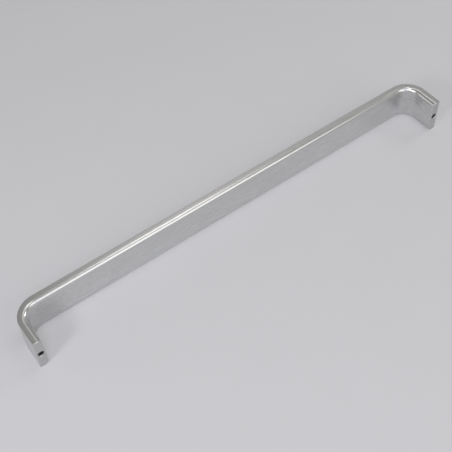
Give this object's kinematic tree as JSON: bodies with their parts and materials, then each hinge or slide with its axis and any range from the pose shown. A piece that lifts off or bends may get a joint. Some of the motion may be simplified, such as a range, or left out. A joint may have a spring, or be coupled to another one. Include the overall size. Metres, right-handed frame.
{
  "type": "bridge pull handle",
  "caption": "Bow handle bent from a flat aluminium bar with rounded inner edges. Each foot is sawn square and has a tapped blind hole for a screw from behind the door.",
  "frame": {"origin": "midway between the two screw holes, on the mounting plane that both sawn feet stand on", "axes": "+X along the bar, +Y out of the feet towards the door, +Z along the bar's width, upwards as it lies in the picture"},
  "size_m": [0.326, 0.031, 0.026],
  "materials": {
    "anodised_aluminium": "satin silver anodised, with a fine grain along the bar"
  },
  "bodies": {
    "root": {"pull_handle": "anodised_aluminium"}
  },
  "joints": []
}
